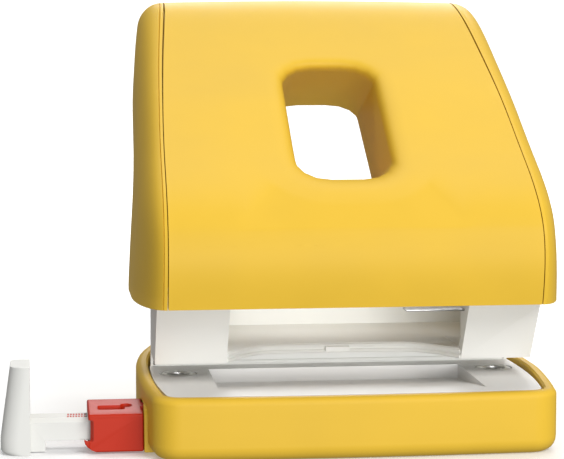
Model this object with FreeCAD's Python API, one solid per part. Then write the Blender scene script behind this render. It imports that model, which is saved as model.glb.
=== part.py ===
import FreeCAD, Part
import math
import os

# Desk hole punch, millimetres.  +X is to the user's right, +Y away from the user, +Z up.
# The origin is on the underside of the base, straight below the middle of the two dies.

V = FreeCAD.Vector

# ---- driving dimensions -------------------------------------------------------------
HOLE_PITCH = 80.0
PIN_R = 2.75
PAPER_MARGIN = 12.0
PLATE_TOP = 15.0
SLOT_GAP = 4.3

RUN_GAP = 0.05          # radial play of a pin or axle in its bore
WIDE_X = 60.0           # past both sides of the punch, for solids that cut right across it
PART_GAP = 0.3          # play between moving covers

# base tray
BASE_HALF_WIDTH = 50.3
BASE_MID_Y = -3.0
BASE_BACK_Y = 74.0
BASE_FRONT_Y = -38.0
BASE_CORNER_R = 7.0
BASE_SIDE_TAPER = 1.8
BASE_FRONT_BOW = 1.1
BASE_CURVE_POWER = 2.5
RIM_TOP = 16.4
RIM_FRONT_TOP = 15.0
RIM_SLOPE_END_Y = -8.0
TRAY_WALL = 3.0
TRAY_FLOOR = 2.2
TRAY_BOTTOM_R = 3.2

# tray hinge, at the back of the base
HINGE_Y = 60.0
HINGE_Z = 10.8
HINGE_PIN_R = 1.2
HINGE_EYE_R = 2.4
HINGE_EAR_X = (10.0, 14.5)
HINGE_LUG_X = (15.0, 20.0)

# die plate
PLATE_THICK = 1.5
PLATE_INSET = 3.6
PLATE_BACK_INSET = 2.4
DIE_R = 4.7
DIE_HOLE_R = PIN_R + 0.08
DIE_LENGTH = 2.6
TROUGH_HALF_WIDTH = 32.0
TROUGH_BACK_Y = 5.5
TROUGH_FRONT_Y = -28.0
TROUGH_DEPTH = 3.5

# punch frame
FRAME_HALF_WIDTH = 46.5
FRAME_WALL = 2.0
FRAME_BACK_Y = 36.5
BED_BOTTOM = PLATE_TOP + SLOT_GAP
BED_THICK = 2.5
BLOCK_INNER_X = 29.0
BLOCK_FRONT_Y = -12.0
BED_CENTRE_Y = 1.0
BLOCK_KNEE = (-21.4, 33.2)
BLOCK_TOP = (-25.2, 37.9)
GUIDE_R = 4.4
GUIDE_TOP = 31.0
PIVOT_Y = -24.0
PIVOT_Z = 46.0
AXLE_R = 2.5
EYE_R = 5.5

# punch pins
PIN_TIP_Z = BED_BOTTOM + 1.0
PIN_TOP_Z = 50.0
PIN_HEAD_R = 4.2
PIN_DOME_R = 6.0
CLIP_Z = 46.6
CLIP_R = 4.2
CLIP_THICK = 0.8
SPRING_COIL_R = 3.6
SPRING_WIRE_R = 0.45
SPRING_TURNS = 6

# handle
HANDLE_BOTTOM = 35.2
HANDLE_WALL = 2.2
SEAM_X = 44.5           # half width of the middle shell at its bottom edge
CAP_WIDTH = 7.5
CAP_DEPTH_Y = 26.0      # how far back the side cap's rounded front reaches
CAP_DROP_Z = 7.0
CAP_BACK = 5.0
LEAN = 0.075            # sides lean in by this much per millimetre of height
BACK_RISE = 0.6085      # slope of the handle's back
BACK_AT_0 = 49.57       # height of the back's plane above y = 0
BACK_LOW_Y = 9.0
BACK_HIGH_Y = 77.0
COVER_THICK = 2.0
SKIRT_Y = (20.0, 18.0, 12.0)    # rear edge of the skirts: at the back plane, halfway, at the bottom
SKIRT_BEND_Z = 42.0
HOLE_HALF_WIDTH = 11.8
HOLE_CORNER_R = 7.5
HOLE_LOW = ((-20.0, 64.8), (12.75, 57.3))
HOLE_HIGH = ((20.0, 90.3), (50.0, 79.6))
HOLE_WALL = 2.0

# room inside the handle for the frame and its axle
FRAME_ROOM = ((-29.7, 20.0), (-29.7, 48.5), (-25.0, 53.0), (8.0, 56.5), (20.0, 62.0), (26.0, 63.0),
              (26.0, 20.0))
FRAME_ROOM_HALF_X = 46.9
AXLE_ROOM_R = 4.6
AXLE_ROOM_X = 48.0

# lever inside the handle
LEVER_ARM_X = (41.9, 43.9)
LEVER_PLATE = 2.0
LEVER_WING_INNER_X = 17.0
LEVER_WING_BACK_Y = 48.0
LEVER_GAP = 0.6         # between the back cover and the lever's wings
PAD_THICK = 1.5
SCREW_R = 1.4
SCREW_HEAD_R = 3.0
SCREW_HEAD_H = 1.5
SCREW_X = 30.0
SCREW_YS = (17.0, 42.0)
BOSS_R = 3.6

# paper guide
BAR_Y = (-20.8, -13.6)
BAR_Z = (2.9, 8.2)
BAR_LEFT_X = -76.7
BAR_LENGTH = 112.0
STOP_OUT_X = -83.6
STOP_TOP_OUT_X = -81.2
STOP_TOP_Z = 21.0
STOP_Y = (-24.0, -11.0)
STOP_BULGE = 2.6        # how far the stop's rounded outer face stands out
FOOT_X = -73.1
NOTCH_COUNT = 9
NOTCH_PITCH = 8.0
NOTCH_FIRST_X = -44.0
LATCH_X = (-63.0, -49.9)
LATCH_Y = (-24.3, -10.8)
LATCH_Z = (0.5, 10.9)
COLLAR_X = -49.7        # flat face on the tray that the latch sits against


# ---- small helpers ------------------------------------------------------------------
def box(x0, x1, y0, y1, z0, z1):
    return Part.makeBox(x1 - x0, y1 - y0, z1 - z0, V(x0, y0, z0))


def rod(x, y, z, radius, length, direction=V(0, 0, 1)):
    return Part.makeCylinder(radius, length, V(x, y, z), direction)


def prism_x(points, x0, x1):
    """A solid with the outline (y, z) between two x planes."""
    wire = Part.makePolygon([V(x0, y, z) for y, z in points + points[:1]])
    return Part.Face(wire).extrude(V(x1 - x0, 0, 0))


def prism_z(points, z0, z1):
    """A solid with the outline (x, y) between two heights."""
    wire = Part.makePolygon([V(x, y, z0) for x, y in points + points[:1]])
    return Part.Face(wire).extrude(V(0, 0, z1 - z0))


def both_sides(shape):
    return [shape, shape.mirror(V(0, 0, 0), V(1, 0, 0))]


def fuse(shapes):
    return shapes[0].multiFuse(shapes[1:]).removeSplitter()


def cut(shape, tools):
    for tool in tools:
        shape = shape.cut(tool)
    return shape


def arc(a, b, c):
    return Part.Arc(a, b, c).toShape()


def smooth(points, start=None, end=None):
    """One smooth edge through the points, with its end tangents when given."""
    curve = Part.BSplineCurve()
    if start is None:
        curve.interpolate(points)
    else:
        curve.interpolate(Points=points, InitialTangent=start, FinalTangent=end)
    return curve.toShape()


def save(name, shape):
    shape.exportStep("parts/" + name + ".step")


# ---- base outline -------------------------------------------------------------------
def superellipse_x(y, half_width, back_y):
    """Half width of the rounded rear outline at depth y."""
    share = max(0.0, (y - BASE_MID_Y) / (back_y - BASE_MID_Y))
    return half_width * (1.0 - share ** BASE_CURVE_POWER) ** (1.0 / BASE_CURVE_POWER)


def rear_curve(half_width, back_y):
    """The rounded back of the base, from its right side round to its left side."""
    steps = 20
    points = []
    for i in range(steps + 1):
        angle = math.pi * i / steps
        across = abs(math.cos(angle)) ** (2.0 / BASE_CURVE_POWER)
        along = abs(math.sin(angle)) ** (2.0 / BASE_CURVE_POWER)
        side = 1.0 if i * 2 < steps else -1.0
        points.append(V(side * half_width * across, BASE_MID_Y + (back_y - BASE_MID_Y) * along, 0))
    return smooth(points, V(0, 1, 0), V(0, -1, 0))


def base_outline(inset, back_inset=0.0):
    """Plan of the base, drawn inwards by inset all round and by back_inset more at the back."""
    half_width = BASE_HALF_WIDTH - inset
    back_y = BASE_BACK_Y - inset - back_inset
    front_y = BASE_FRONT_Y + inset
    radius = max(BASE_CORNER_R - inset, 1.5)
    side_x = half_width - BASE_SIDE_TAPER
    corner_y = front_y + BASE_FRONT_BOW
    turn = radius * (1.0 - math.sqrt(0.5))
    mid_y = 0.5 * (BASE_MID_Y + corner_y + radius)
    edges = [rear_curve(half_width, back_y)]
    for side in (-1.0, 1.0):
        top = V(side * half_width, BASE_MID_Y, 0)
        low = V(side * side_x, corner_y + radius, 0)
        edges.append(arc(top, V(side * (half_width - 0.25 * BASE_SIDE_TAPER), mid_y, 0), low))
        toe = V(side * (side_x - radius), corner_y, 0)
        edges.append(arc(low, V(side * (side_x - turn), corner_y + turn, 0), toe))
    left_toe = V(radius - side_x, corner_y, 0)
    right_toe = V(side_x - radius, corner_y, 0)
    edges.append(arc(left_toe, V(0, front_y, 0), right_toe))
    return Part.Wire(Part.__sortEdges__(edges))


def base_block(inset, z0, z1, back_inset=0.0):
    face = Part.Face(base_outline(inset, back_inset))
    face.translate(V(0, 0, z0))
    return face.extrude(V(0, 0, z1 - z0))


# ---- base tray ----------------------------------------------------------------------
def base_tray():
    outer = base_block(0.0, 0.0, RIM_TOP)
    low_edges = [e for e in outer.Edges if e.BoundBox.ZMax < 0.01]
    outer = outer.makeFillet(TRAY_BOTTOM_R, low_edges)
    slope = prism_x([(BASE_FRONT_Y - 5.0, RIM_FRONT_TOP), (BASE_FRONT_Y, RIM_FRONT_TOP),
                     (RIM_SLOPE_END_Y, RIM_TOP), (RIM_SLOPE_END_Y, RIM_TOP + 5.0),
                     (BASE_FRONT_Y - 5.0, RIM_TOP + 5.0)], -WIDE_X, WIDE_X)
    seat = box(-WIDE_X, COLLAR_X, LATCH_Y[0] - 1.0, LATCH_Y[1] + 2.6, -1.0, LATCH_Z[1] + 1.4)
    tray = cut(outer, [slope, seat, base_block(TRAY_WALL, TRAY_FLOOR, RIM_TOP + 5.0)])
    collar = box(COLLAR_X, -46.5, LATCH_Y[0] - 0.5, LATCH_Y[1] + 0.4, 0.4, LATCH_Z[1] + 1.1)
    ribs = []
    for y0 in (BAR_Y[0] - 1.6, BAR_Y[1] + 0.5):
        ribs.append(box(-47.5, 46.0, y0, y0 + 1.1, TRAY_FLOOR - 0.2, 8.0))
    x0, x1 = HINGE_LUG_X
    lugs = both_sides(box(x0, x1, HINGE_Y - HINGE_EYE_R, HINGE_Y + HINGE_EYE_R, TRAY_FLOOR - 0.2, HINGE_Z))
    lugs += both_sides(rod(x0, HINGE_Y, HINGE_Z, HINGE_EYE_R, x1 - x0, V(1, 0, 0)))
    tray = fuse([tray, collar] + ribs + lugs)
    mouth = box(-55.0, -44.0, BAR_Y[0] - 0.5, BAR_Y[1] + 2.3, TRAY_FLOOR, LATCH_Z[1] + 0.5)
    bore = rod(-25.0, HINGE_Y, HINGE_Z, HINGE_PIN_R, 50.0, V(1, 0, 0))
    return cut(tray, [mouth, bore] + pad_solids())


def pad_solids():
    """Four anti-slip pads, set flush in the underside."""
    return [rod(x, y, 0.0, 6.0, 1.2) for x in (-34.0, 34.0) for y in (-26.0, 44.0)]


def hinge_pin():
    return rod(-HINGE_LUG_X[1] - 0.5, HINGE_Y, HINGE_Z, HINGE_PIN_R,
               2.0 * HINGE_LUG_X[1] + 1.0, V(1, 0, 0))


# ---- die plate ----------------------------------------------------------------------
def trough(offset):
    """The paper-pull trough: a vertical back wall and a floor that ramps up to the front."""
    half = TROUGH_HALF_WIDTH + offset
    back_y = TROUGH_BACK_Y + offset
    floor = PLATE_TOP - TROUGH_DEPTH - offset
    top = PLATE_TOP + 1.0 if offset == 0.0 else PLATE_TOP
    ramp = [(back_y, top), (back_y, floor), (TROUGH_BACK_Y - 3.0, floor),
            (TROUGH_FRONT_Y, PLATE_TOP - offset), (TROUGH_FRONT_Y, top)]
    return prism_x(ramp, -half, half)


def die_plate():
    sheet = base_block(PLATE_INSET, PLATE_TOP - PLATE_THICK, PLATE_TOP, PLATE_BACK_INSET)
    plate = sheet.fuse(trough(PLATE_THICK)).cut(trough(0.0))
    ears = []
    for x0, x1 in (HINGE_EAR_X, (-HINGE_EAR_X[1], -HINGE_EAR_X[0])):
        ears.append(rod(x0, HINGE_Y, HINGE_Z, HINGE_EYE_R, x1 - x0, V(1, 0, 0)))
        ears.append(box(x0, x1, HINGE_Y - HINGE_EYE_R, HINGE_Y + HINGE_EYE_R, HINGE_Z, PLATE_TOP - 1.0))
    plate = fuse([plate] + ears)
    bores = [rod(side * HOLE_PITCH / 2, 0, 0, DIE_R, 30.0) for side in (-1, 1)]
    bores += [rod(x, y, 0, 2.0, 30.0) for x, y in rivet_places()]
    bores.append(rod(-25.0, HINGE_Y, HINGE_Z, HINGE_PIN_R + RUN_GAP, 50.0, V(1, 0, 0)))
    return cut(plate, bores)


def die_bushing(side):
    x = side * HOLE_PITCH / 2
    ring = rod(x, 0, PLATE_TOP - DIE_LENGTH, DIE_R, DIE_LENGTH)
    ring = ring.makeChamfer(0.4, [e for e in ring.Edges if e.BoundBox.ZMin > PLATE_TOP - 0.01])
    return ring.cut(rod(x, 0, 0, DIE_HOLE_R, 30.0))


def rivet_places():
    return [(x, y) for x in (-30.0, 30.0) for y in (19.0, 30.0)]


def frame_rivets():
    rivets = []
    for x, y in rivet_places():
        low = PLATE_TOP - PLATE_THICK
        high = PLATE_TOP + PLATE_THICK
        shank = rod(x, y, low - 1.0, 2.0, high - low + 2.0)
        heads = [rod(x, y, low - 1.0, 3.4, 1.0), rod(x, y, high, 3.4, 1.0)]
        rivets.append(fuse([shank] + heads))
    return Part.makeCompound(rivets)


# ---- punch frame --------------------------------------------------------------------
def frame_block(inset, z0, z1):
    """Plan of the frame walls: straight sides that draw in towards a straight back."""
    half_width = FRAME_HALF_WIDTH - inset
    back_y = FRAME_BACK_Y - inset
    front_y = -40.0
    corner = 6.0
    turn_y = back_y - corner
    sides = []
    for side in (-1.0, 1.0):
        points = []
        for i in range(6):
            y = BASE_MID_Y + (turn_y - BASE_MID_Y) * i / 5
            points.append(V(side * superellipse_x(y, half_width, BASE_BACK_Y - 1.0 - inset), y, z0))
        end = points[-1]
        toe = V(end.x - side * corner, back_y, z0)
        sides.append((points, end, toe))
    edges = []
    for (points, end, toe), side in zip(sides, (-1.0, 1.0)):
        edges.append(Part.LineSegment(V(side * half_width, front_y, z0), points[0]).toShape())
        edges.append(smooth(points))
        bend = V(end.x - side * corner * 0.26, back_y - corner * 0.3, z0)
        edges.append(arc(end, bend, toe))
    edges.append(Part.LineSegment(sides[0][2], sides[1][2]).toShape())
    edges.append(Part.LineSegment(V(-half_width, front_y, z0), V(half_width, front_y, z0)).toShape())
    face = Part.Face(Part.Wire(Part.__sortEdges__(edges)))
    return face.extrude(V(0, 0, z1 - z0))


def side_profile():
    """The side view of the frame's walls, with the eye for the lever's axle."""
    outline = [(PAPER_MARGIN, PLATE_TOP), (PAPER_MARGIN, BED_BOTTOM), (BLOCK_FRONT_Y, BED_BOTTOM),
               BLOCK_KNEE, (-28.6, 43.0), (-20.0, 49.8), (-4.0, 42.0), (17.0, 41.0),
               (30.0, 44.0), (FRAME_BACK_Y + 1.0, 44.0), (FRAME_BACK_Y + 1.0, PLATE_TOP)]
    eye = rod(-60.0, PIVOT_Y, PIVOT_Z, EYE_R, 120.0, V(1, 0, 0))
    return prism_x(outline, -60.0, 60.0).fuse(eye)


def bed_plate():
    """The hold-down bed over the paper slot, with its hollowed front edge and centre pointer."""
    z0, z1 = BED_BOTTOM, BED_BOTTOM + BED_THICK
    low = z0 - 1.0
    bed = frame_block(0.5, z0, z1)
    half = [(BLOCK_INNER_X, BLOCK_FRONT_Y), (26.0, -7.4), (23.0, -3.5), (18.7, -0.2),
            (11.5, BED_CENTRE_Y - 0.3)]
    edge = [(-x, y) for x, y in half] + [(0.0, BED_CENTRE_Y)] + half[::-1]
    curve = smooth([V(x, y, low) for x, y in edge])
    corners = [(BLOCK_INNER_X, BLOCK_FRONT_Y), (WIDE_X, BLOCK_FRONT_Y), (WIDE_X, -WIDE_X),
               (-WIDE_X, -WIDE_X), (-WIDE_X, BLOCK_FRONT_Y), (-BLOCK_INNER_X, BLOCK_FRONT_Y)]
    ring = [V(x, y, low) for x, y in corners]
    lines = [Part.LineSegment(a, b).toShape() for a, b in zip(ring, ring[1:])]
    front = Part.Face(Part.Wire(Part.__sortEdges__([curve] + lines))).extrude(V(0, 0, BED_THICK + 2.0))
    pointer = box(-3.0, 3.0, BED_CENTRE_Y - 2.0, BED_CENTRE_Y + 2.0, z0 + 0.6, z0 + 1.8)
    return bed.cut(front).fuse(pointer)


def block_walls():
    """The two pin blocks in front: a slanted face and an inner cheek on each side."""
    front = [(BLOCK_FRONT_Y, BED_BOTTOM), BLOCK_KNEE, BLOCK_TOP]
    inside = [(y + 1.1 * FRAME_WALL, z) for y, z in front[::-1]]
    face = prism_x(front + inside, BLOCK_INNER_X, FRAME_HALF_WIDTH - 0.5)
    cheek = prism_x(front + [(-4.0, 34.0), (9.0, 29.5), (9.0, BED_BOTTOM)],
                    BLOCK_INNER_X, BLOCK_INNER_X + FRAME_WALL)
    tie = box(18.0, BLOCK_INNER_X + 1.0, 3.5, 9.0, 27.8, 29.3)
    return both_sides(face) + both_sides(cheek) + both_sides(tie)


def punch_frame():
    walls = frame_block(0.0, PLATE_TOP, 60.0).cut(frame_block(FRAME_WALL, PLATE_TOP - 1.0, 61.0))
    walls = walls.common(side_profile())
    flange = frame_block(FRAME_WALL - 0.5, PLATE_TOP, PLATE_TOP + PLATE_THICK)
    flange = flange.common(box(-60, 60, PAPER_MARGIN, 60, 0, 60))
    stop = box(-45.2, 45.2, PAPER_MARGIN, PAPER_MARGIN + 1.5, PLATE_TOP, BED_BOTTOM + 1.0)
    frame = fuse([walls, flange, stop, bed_plate()] + block_walls())
    bores = [rod(side * HOLE_PITCH / 2, 0, 0, GUIDE_R, 60.0) for side in (-1, 1)]
    bores += [rod(x, y, 0, 2.0, 20.0) for x, y in rivet_places()]
    bores.append(rod(-60.0, PIVOT_Y, PIVOT_Z, AXLE_R, 120.0, V(1, 0, 0)))
    return cut(frame, bores)


def pin_guide(side):
    x = side * HOLE_PITCH / 2
    bush = rod(x, 0, BED_BOTTOM, GUIDE_R, GUIDE_TOP - BED_BOTTOM)
    collar = rod(x, 0, BED_BOTTOM + BED_THICK, 4.49, 1.5)
    return fuse([bush, collar]).cut(rod(x, 0, 0, PIN_R + RUN_GAP, 60.0))


def pivot_axle():
    return rod(-FRAME_HALF_WIDTH - 0.9, PIVOT_Y, PIVOT_Z, AXLE_R, 2.0 * FRAME_HALF_WIDTH + 1.8, V(1, 0, 0))


def axle_clips():
    clips = []
    for x in (-FRAME_HALF_WIDTH - 0.7, FRAME_HALF_WIDTH + 0.1):
        disc = rod(x, PIVOT_Y, PIVOT_Z, 3.8, 0.6, V(1, 0, 0))
        slot = box(x - 1, x + 2, PIVOT_Y - 5.0, PIVOT_Y, PIVOT_Z - 1.2, PIVOT_Z + 1.2)
        clips.append(cut(disc, [slot, rod(x - 1, PIVOT_Y, PIVOT_Z, AXLE_R, 3.0, V(1, 0, 0))]))
    return Part.makeCompound(clips)


# ---- punch pins ---------------------------------------------------------------------
def punch_pin(side):
    """A pin with a hollow-ground tip, a groove for its clip and a domed head the lever rolls on."""
    x = side * HOLE_PITCH / 2
    shaft = rod(x, 0, PIN_TIP_Z, PIN_R, PIN_TOP_Z - 2.0 - PIN_TIP_Z)
    head = rod(x, 0, PIN_TOP_Z - 2.2, PIN_HEAD_R, 2.2)
    head = head.common(Part.makeSphere(PIN_DOME_R, V(x, 0, PIN_TOP_Z - PIN_DOME_R)))
    pin = fuse([shaft, head])
    grind = Part.makeCylinder(5.0, 12.0, V(x - 6.0, 0, PIN_TIP_Z - 4.2), V(1, 0, 0))
    groove = rod(x, 0, CLIP_Z, PIN_R + 1.0, CLIP_THICK).cut(rod(x, 0, CLIP_Z, PIN_R - 0.5, CLIP_THICK))
    return cut(pin, [grind, groove])


def pin_clip(side):
    x = side * HOLE_PITCH / 2
    ring = rod(x, 0, CLIP_Z, CLIP_R, CLIP_THICK).cut(rod(x, 0, CLIP_Z, PIN_R - 0.5, CLIP_THICK))
    return ring.cut(box(x - 1.5, x + 1.5, -6.0, 0.0, CLIP_Z, CLIP_Z + CLIP_THICK))


def return_spring(side):
    """A coil spring round the pin, between its guide and its clip."""
    low = GUIDE_TOP + SPRING_WIRE_R + 0.02
    height = CLIP_Z - GUIDE_TOP - 2.0 * SPRING_WIRE_R - 0.04
    helix = Part.makeHelix(height / SPRING_TURNS, height, SPRING_COIL_R)
    section = Part.Wire(Part.makeCircle(SPRING_WIRE_R, V(SPRING_COIL_R, 0, 0), V(0, 1, 0)))
    coil = Part.Wire(helix.Edges).makePipeShell([section], True, True)
    coil.translate(V(side * HOLE_PITCH / 2, 0, low))
    return coil


# ---- handle -------------------------------------------------------------------------
def front_line():
    """The handle's outline (y, z) at its middle, from the front bottom edge over the crest."""
    last_y = BACK_HIGH_Y + 1.0
    points = [(-32.2, HANDLE_BOTTOM), (-34.0, 45.0), (-32.7, 53.0), (-26.0, 61.0), (-10.7, 71.0),
              (7.0, 83.0), (26.3, 95.0), (37.0, 101.2), (47.0, 105.8), (57.0, 107.9), (66.5, 106.4),
              (74.0, 101.9), (last_y, BACK_AT_0 + BACK_RISE * last_y)]
    curve = Part.BSplineCurve()
    curve.interpolate([V(0, y, z) for y, z in points])
    return curve


def handle_section(turn, offset):
    """One closed section of the handle: turn runs from 0 at the seam to 90 degrees at the side."""
    drawn_in = 1.0 - math.cos(math.radians(turn))
    reach = math.sin(math.radians(turn))
    base = front_line()
    first, last = base.FirstParameter, base.LastParameter
    steps = 16
    outline = []
    for i in range(steps + 1):
        at = first + (last - first) * i / steps
        spot = base.value(at)
        along = base.tangent(at)[0]
        out_y, out_z = -along.z, along.y
        inset_y = offset + (CAP_DEPTH_Y if out_y < 0 else CAP_BACK) * drawn_in
        inset_z = offset + CAP_DROP_Z * drawn_in
        outline.append((spot.y - out_y * inset_y, spot.z - out_z * inset_z))
    outline[0] = (outline[0][0], HANDLE_BOTTOM - 3.0 * offset)
    lift = math.hypot(1.0, BACK_RISE) * (offset + CAP_BACK * drawn_in)
    top_y, bend_y, foot_y = [y - offset - drawn_in for y in SKIRT_Y]
    low = [(top_y, BACK_AT_0 + BACK_RISE * top_y + lift), (bend_y, SKIRT_BEND_Z),
           (foot_y, HANDLE_BOTTOM - 3.0 * offset)]
    half = SEAM_X + CAP_WIDTH * reach - offset * reach

    def place(y, z):
        return V(half - LEAN * (z - HANDLE_BOTTOM), y, z)

    edges = [smooth([place(y, z) for y, z in outline])]
    ring = [outline[-1]] + low + [outline[0]]
    for (ya, za), (yb, zb) in zip(ring, ring[1:]):
        edges.append(Part.LineSegment(place(ya, za), place(yb, zb)).toShape())
    return Part.Wire(edges)


def handle_middle(offset):
    """The straight middle of the handle, drawn inwards by offset."""
    seam = handle_section(0.0, offset)
    return Part.makeLoft([seam, seam.mirror(V(0, 0, 0), V(1, 0, 0))], True, True)


def handle_end(offset):
    """The rounded right end of the handle, drawn inwards by offset."""
    turns = (0.0, 22.0, 44.0, 64.0, 80.0, 90.0)
    return Part.makeLoft([handle_section(turn, offset) for turn in turns], True, False)


def hole_solid(grow):
    """The finger hole's tunnel, from in front of the handle to behind it."""
    wires = []
    for share in (-0.25, 1.3):
        (ay, az), (by, bz) = HOLE_LOW
        low = V(0, ay + (by - ay) * share, az + (bz - az) * share)
        (ay, az), (by, bz) = HOLE_HIGH
        high = V(0, ay + (by - ay) * share, az + (bz - az) * share)
        up = (high - low).normalize()
        low = low - up * grow
        length = (high - low).Length + grow
        half, r = HOLE_HALF_WIDTH + grow, HOLE_CORNER_R + grow
        k = r * (1.0 - math.sqrt(0.5))

        def at(x, s):
            return low + up * s + V(x, 0, 0)

        edges = [Part.LineSegment(at(r - half, 0), at(half - r, 0)).toShape(),
                 arc(at(half - r, 0), at(half - k, k), at(half, r)),
                 Part.LineSegment(at(half, r), at(half, length - r)).toShape(),
                 arc(at(half, length - r), at(half - k, length - k), at(half - r, length)),
                 Part.LineSegment(at(half - r, length), at(r - half, length)).toShape(),
                 arc(at(r - half, length), at(k - half, length - k), at(-half, length - r)),
                 Part.LineSegment(at(-half, length - r), at(-half, r)).toShape(),
                 arc(at(-half, r), at(k - half, k), at(r - half, 0))]
        wires.append(Part.Wire(edges))
    return Part.makeLoft(wires, True, True)


def back_point(y, depth):
    """A point (y, z) on the handle's back plane at y, moved depth into the handle."""
    length = math.hypot(1.0, BACK_RISE)
    return (y - depth * BACK_RISE / length, BACK_AT_0 + BACK_RISE * y + depth / length)


def handle_shell():
    """The middle moulding: the front sheet, the finger hole's tunnel and the screw bosses."""
    middle = handle_middle(0.0)
    open_back = prism_x([(-29.0, 20.0), (-29.0, 48.0), back_point(BACK_LOW_Y - 14.0, COVER_THICK),
                         back_point(BACK_HIGH_Y, COVER_THICK), back_point(BACK_HIGH_Y, -8.0), (80.0, 20.0)],
                        -WIDE_X, WIDE_X)
    sheet = cut(middle, [handle_middle(HANDLE_WALL), open_back])
    tunnel = hole_solid(HOLE_WALL).common(middle)
    bosses = []
    for x, y in screw_places():
        foot_y, foot_z = back_point(y, COVER_THICK + LEVER_GAP + LEVER_PLATE)
        column = rod(x, foot_y, foot_z, BOSS_R, 60.0, screw_axis())
        bosses.append(column.common(middle))
    shell = fuse([sheet, tunnel] + bosses)
    drills = [rod(x, *back_point(y, 0.0), SCREW_R, 18.0, screw_axis()) for x, y in screw_places()]
    return cut(shell, [hole_solid(0.0)] + drills)


def side_cap():
    """The right end cap, hollow, with room for the punch frame and the axle's end."""
    frame_room = prism_x(list(FRAME_ROOM), -FRAME_ROOM_HALF_X, FRAME_ROOM_HALF_X)
    axle_room = rod(0.0, PIVOT_Y, PIVOT_Z, AXLE_ROOM_R, AXLE_ROOM_X, V(1, 0, 0))
    return cut(handle_end(0.0), [handle_end(HANDLE_WALL), frame_room, axle_room])


def back_cover():
    high_y = BACK_HIGH_Y - 0.6
    depth = COVER_THICK - 0.05
    plate = prism_x([back_point(BACK_LOW_Y, 0.0), back_point(high_y, 0.0), back_point(high_y, depth),
                     back_point(BACK_LOW_Y, depth)], -WIDE_X, WIDE_X)
    drills = [rod(x, *back_point(y, -1.0), SCREW_R, 8.0, screw_axis()) for x, y in screw_places()]
    return cut(plate.common(handle_middle(0.0)), [hole_solid(HOLE_WALL + 0.1)] + drills)


def screw_places():
    return [(x, y) for x in (-SCREW_X, SCREW_X) for y in SCREW_YS]


def screw_axis():
    length = math.hypot(1.0, BACK_RISE)
    return V(0, -BACK_RISE / length, 1.0 / length)


def handle_screws():
    screws = []
    for x, y in screw_places():
        shank = rod(x, *back_point(y, -0.5), SCREW_R, 16.0, screw_axis())
        head = rod(x, *back_point(y, -SCREW_HEAD_H), SCREW_HEAD_R, SCREW_HEAD_H, screw_axis())
        slots = [box(x - 1.6, x + 1.6, -0.35, 0.35, 0, 0.7), box(x - 0.35, x + 0.35, -1.6, 1.6, 0, 0.7)]
        cross = fuse(slots)
        cross.rotate(V(x, 0, 0), V(1, 0, 0), math.degrees(math.atan(BACK_RISE)))
        start_y, start_z = back_point(y, -SCREW_HEAD_H)
        cross.translate(V(0, start_y, start_z))
        screws.append(fuse([shank, head]).cut(cross))
    return Part.makeCompound(screws)


# ---- lever --------------------------------------------------------------------------
def lever_plate():
    """The steel lever: two arms on the axle, a web over the pins and a wing up each side."""
    web_low = PIN_TOP_Z + PAD_THICK
    near = COVER_THICK + LEVER_GAP
    far = near + LEVER_PLATE
    arm_top = 9.0
    arm = prism_x([(-28.6, 48.5), (-21.0, 41.4), (-9.0, 50.4), (-8.0, web_low), (1.0, web_low),
                   back_point(4.0, near), back_point(LEVER_WING_BACK_Y, near),
                   back_point(LEVER_WING_BACK_Y, arm_top), back_point(10.0, arm_top), (-12.0, 60.0)],
                  *LEVER_ARM_X)
    arm_width = LEVER_ARM_X[1] - LEVER_ARM_X[0]
    arm = arm.fuse(rod(LEVER_ARM_X[0], PIVOT_Y, PIVOT_Z, EYE_R, arm_width, V(1, 0, 0)))
    web = box(-LEVER_ARM_X[1], LEVER_ARM_X[1], -8.0, 3.0, web_low, web_low + LEVER_PLATE)
    wing = prism_x([back_point(0.0, near), back_point(LEVER_WING_BACK_Y, near),
                    back_point(LEVER_WING_BACK_Y, far), back_point(0.0, far)],
                   LEVER_WING_INNER_X, LEVER_ARM_X[1])
    lever = fuse([web] + both_sides(arm) + both_sides(wing))
    drills = [rod(x, *back_point(y, 0.0), SCREW_R, 8.0, screw_axis()) for x, y in screw_places()]
    drills.append(rod(-60.0, PIVOT_Y, PIVOT_Z, AXLE_R + RUN_GAP, 120.0, V(1, 0, 0)))
    return cut(lever, drills)


def press_pads():
    pad = box(36.2, 43.7, -4.6, 4.6, PIN_TOP_Z, PIN_TOP_Z + PAD_THICK)
    return Part.makeCompound(both_sides(pad))


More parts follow.
